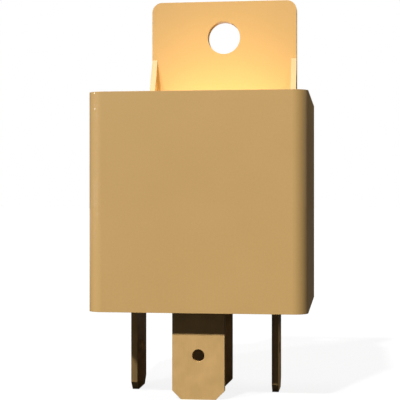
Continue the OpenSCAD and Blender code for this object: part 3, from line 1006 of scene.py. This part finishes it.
class RELAY_OT_stage(Operator):
    """Set the floor, the lights and the camera"""

    bl_idname = "relay.stage"
    bl_label = "Studio"

    def execute(self, context):
        studio = context.scene.relay_studio
        self.floor(cad_box[0].z)
        self.surround(context.scene, studio)
        # The key stands front left and above, with a weaker lamp beside it; the others light the
        # right side and the back
        self.sun("key", azimuth=-20, height=49.6, spread=3, strength=studio.key)
        self.sun("side key", azimuth=-38.7, height=44.3, spread=3, strength=studio.key * 0.38)
        self.sun("back", azimuth=-160, height=38, spread=30, strength=0.7)
        self.sun("right", azimuth=118, height=35, spread=30, strength=0.2)
        # Two tall strips draw thin lines of light down the left corner
        self.strip("left strip", azimuth=-68, strength=32, low=-60, high=90)
        self.strip("front strip", azimuth=-44, strength=30, low=0, high=90)
        tab_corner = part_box("cover")[1]
        self.spot(tab_corner, studio.tab)
        self.bounce(tab_corner, studio.bounce)
        self.camera(context.scene, studio)
        context.scene.view_settings.view_transform = "Standard"
        return {"FINISHED"}

    def towards(self, azimuth, height):
        """The direction of a light, from the relay's front round to its right, and up."""
        a, h = math.radians(azimuth), math.radians(height)
        return Vector((math.sin(a) * math.cos(h), -math.cos(a) * math.cos(h), math.sin(h)))

    def lamp(self, kind, name, location, rotation):
        """Adds a lamp and names it."""
        bpy.ops.object.light_add(type=kind, location=location, rotation=rotation)
        lamp = bpy.context.active_object
        lamp.name = lamp.data.name = name
        return lamp

    def panel(self, name, location, rotation, width, length, strength):
        """A rectangular lamp that the camera doesn't see, as bright at any size."""
        lamp = self.lamp("AREA", name, location, rotation)
        lamp.data.shape = "RECTANGLE"
        lamp.data.size = width
        lamp.data.size_y = length
        lamp.data.energy = strength * math.pi**2 * width * length
        lamp.visible_camera = False
        return lamp

    def sun(self, name, azimuth, height, spread, strength):
        """A distant soft light. At strength 1, a face turned to it renders in its own colour."""
        way = self.towards(azimuth, height)
        turn = way.to_track_quat("Z", "Y").to_euler()
        lamp = self.lamp("SUN", name, way * LAMP_DISTANCE, turn)
        lamp.data.angle = math.radians(spread)
        lamp.data.energy = strength * math.pi

    def strip(self, name, azimuth, strength, low, high):
        """A narrow upright lamp, from its low to its high end in millimetres, whose mirror image
        runs down a round corner."""
        way = self.towards(azimuth, height=0)
        place = way * LAMP_DISTANCE + Vector((0, 0, (low + high) / 2 * MM))
        turn = way.to_track_quat("Z", "Y").to_euler()
        width, length = 5 * MM, (high - low) * MM
        lamp = self.panel(name, place, turn, width, length, strength)
        lamp.visible_diffuse = False

    def spot(self, top, strength):
        """A soft spot for the tab, narrow enough to miss the cover's front. It aims a little in
        front of the tab and low down on it."""
        before, below = 2.5 * MM, 11 * MM
        aim = Vector((0, top.y - before, top.z - below))
        way = self.towards(azimuth=40, height=40)
        turn = way.to_track_quat("Z", "Y").to_euler()
        lamp = self.lamp("SPOT", "tab", aim + way * LAMP_DISTANCE, turn)
        lamp.data.spot_size = math.radians(5.2)
        lamp.data.spot_blend = 1.0
        lamp.data.shadow_soft_size = 0.01
        lamp.data.energy = strength * 4 * math.pi**2 * LAMP_DISTANCE**2
        lamp.data.color = (1.0, 0.95, 0.5)

    def bounce(self, top, strength):
        """The light that a pale roof throws back on the foot of the tab: a panel that faces up,
        just above the roof and just before the tab."""
        width, depth = 17 * MM, 12 * MM
        tab_height, tab_thickness, clear = 14.75 * MM, 1.5 * MM, 0.1 * MM
        mounts = frame["record"]["mounts"]
        tab_x = next(m for m in mounts if m["name"] == "tab_hole")["pos_m"][0]
        back = top.y - tab_thickness - clear
        place = (tab_x, back - depth / 2, top.z - tab_height + clear)
        upwards = (math.pi, 0, 0)
        lamp = self.panel("roof bounce", place, upwards, width, depth, strength)
        lamp.data.color = (1.0, 0.77, 0.48)
        lamp.visible_glossy = False

    def seen(self, tree, north):
        """One where a surface is looked at, and zero where it only lights. Metal mirrors the white
        backdrop behind the relay and the dim room in front of it, and north is the share of white
        on the way round."""
        path = add_node(tree, "ShaderNodeLightPath")
        mirrored = add_node(
            tree,
            "ShaderNodeMath",
            {0: path.outputs["Is Glossy Ray"], 1: path.outputs["Is Transmission Ray"]},
            operation="ADD",
            use_clamp=True,
        )
        share = add_node(
            tree, "ShaderNodeMath", {0: mirrored.outputs[0], 1: north}, operation="MULTIPLY"
        )
        return add_node(
            tree,
            "ShaderNodeMath",
            {0: share.outputs[0], 1: path.outputs["Is Camera Ray"]},
            operation="ADD",
            use_clamp=True,
        ).outputs[0]

    def floor(self, height):
        """A pale floor: mostly its own glow, so that it renders white, and for the rest lit, so
        that it keeps the relay's shadow."""
        width, glow_share = 6, 0.88
        floor = start(bpy.ops.mesh.primitive_plane_add, size=width, location=(0, 0, height))
        floor = settle(floor, "studio_floor")
        material, tree, mm = new_material("matt white floor")
        pale = add_node(tree, "ShaderNodeBsdfDiffuse", {"Color": (0.8, 0.8, 0.8, 1)})
        glow = add_node(tree, "ShaderNodeEmission", {"Color": (1, 1, 1, 1), "Strength": 1.0})
        dim = add_node(tree, "ShaderNodeBsdfDiffuse", {"Color": (0.02, 0.02, 0.02, 1)})
        white = add_node(
            tree, "ShaderNodeMixShader", {0: glow_share, 1: pale.outputs[0], 2: glow.outputs[0]}
        )
        # Metal sees the floor white well behind the relay, and dark to the right of it
        place = add_node(tree, "ShaderNodeSeparateXYZ", {"Vector": mm})
        behind = add_node(
            tree,
            "ShaderNodeMapRange",
            {"Value": place.outputs["Y"], "From Min": 60, "From Max": 250},
        )
        west = add_node(
            tree,
            "ShaderNodeMapRange",
            {
                "Value": place.outputs["X"],
                "From Min": 11,
                "From Max": 13.5,
                "To Min": 1.0,
                "To Max": 0.0,
            },
        )
        north = add_node(
            tree,
            "ShaderNodeMath",
            {0: behind.outputs["Result"], 1: west.outputs["Result"]},
            operation="MULTIPLY",
        )
        mixed = add_node(
            tree,
            "ShaderNodeMixShader",
            {0: self.seen(tree, north.outputs[0]), 1: dim.outputs[0], 2: white.outputs[0]},
        )
        add_node(tree, "ShaderNodeOutputMaterial", {"Surface": mixed.outputs[0]})
        paint(floor, material)

    def surround(self, scene, studio):
        """White where it is looked at, and an even dim fill for what it lights."""
        world = bpy.data.worlds.new("studio")
        scene.world = world
        world.use_nodes = True
        tree = world.node_tree
        tree.nodes.clear()
        fill = add_node(
            tree, "ShaderNodeBackground", {"Color": (1, 1, 1, 1), "Strength": studio.fill}
        )
        white = add_node(tree, "ShaderNodeBackground", {"Color": (1, 1, 1, 1), "Strength": 1.0})
        way = add_node(tree, "ShaderNodeTexCoord")
        place = add_node(tree, "ShaderNodeSeparateXYZ", {"Vector": way.outputs["Generated"]})
        behind = add_node(
            tree,
            "ShaderNodeMapRange",
            {"Value": place.outputs["Y"], "From Min": -0.3, "From Max": 0.5},
        )
        # Dark cards stand on both sides of the backdrop: metal sees it white through the slit
        # between them and past their outer ends
        side = add_node(tree, "ShaderNodeMath", {0: place.outputs["X"]}, operation="ABSOLUTE")
        black = (0.0, 0.0, 0.0)
        cards = add_node(
            tree,
            "ShaderNodeValToRGB",
            {"Fac": side.outputs[0]},
            stops=[(0.0, WHITE), (0.004, black), (0.85, black), (0.97, WHITE)],
        )
        north = add_node(
            tree,
            "ShaderNodeMath",
            {0: behind.outputs["Result"], 1: cards.outputs["Color"]},
            operation="MULTIPLY",
        )
        mixed = add_node(
            tree,
            "ShaderNodeMixShader",
            {0: self.seen(tree, north.outputs[0]), 1: fill.outputs[0], 2: white.outputs[0]},
        )
        add_node(tree, "ShaderNodeOutputWorld", {"Surface": mixed.outputs[0]})

    def camera(self, scene, studio):
        """A level camera, a little to the right and turned to the relay."""
        place_mm, turn = (17.70, -145.22, 13.32), 7.426
        bpy.ops.object.camera_add(
            location=[c * MM for c in place_mm],
            rotation=(math.radians(90), 0, math.radians(turn)),
        )
        camera = bpy.context.active_object
        camera.data.sensor_width = 36
        camera.data.lens = studio.focal_length
        camera.data.clip_start = 0.01
        camera.data.clip_end = 20
        scene.camera = camera


OPERATORS = (
    RELAY_OT_stage,
    RELAY_OT_cover,
    RELAY_OT_base,
    RELAY_OT_blades,
    RELAY_OT_magnet,
    RELAY_OT_bobbin,
    RELAY_OT_winding,
    RELAY_OT_resistor,
    RELAY_OT_solder,
    RELAY_OT_leaf_spring,
    RELAY_OT_rivets,
    RELAY_OT_contacts,
)
GROUPS = {
    "relay_plastics": RelayPlastics,
    "relay_metals": RelayMetals,
    "relay_coil": RelayCoil,
    "relay_studio": RelayStudio,
}


class RELAY_PT_parts(Panel):
    """Lists the relay's parts and their sizes and colours"""

    bl_label = "Relay"
    bl_idname = "RELAY_PT_parts"
    bl_space_type = "VIEW_3D"
    bl_region_type = "UI"
    bl_category = "Relay"

    def draw(self, context):
        for operator in OPERATORS:
            self.layout.operator(operator.bl_idname)
        for name, group in GROUPS.items():
            settings = getattr(context.scene, name)
            for value in group.__annotations__:
                self.layout.prop(settings, value)


def register():
    for made in (*GROUPS.values(), *OPERATORS, RELAY_PT_parts):
        bpy.utils.register_class(made)
    for name, group in GROUPS.items():
        setattr(bpy.types.Scene, name, PointerProperty(type=group))


def unregister():
    for name in GROUPS:
        delattr(bpy.types.Scene, name)
    for made in (RELAY_PT_parts, *reversed(OPERATORS), *reversed(list(GROUPS.values()))):
        bpy.utils.unregister_class(made)


def main():
    """Makes every piece in order."""
    register()
    for operator in OPERATORS:
        group, name = operator.bl_idname.split(".")
        getattr(getattr(bpy.ops, group), name)()


if __name__ == "__main__":
    main()
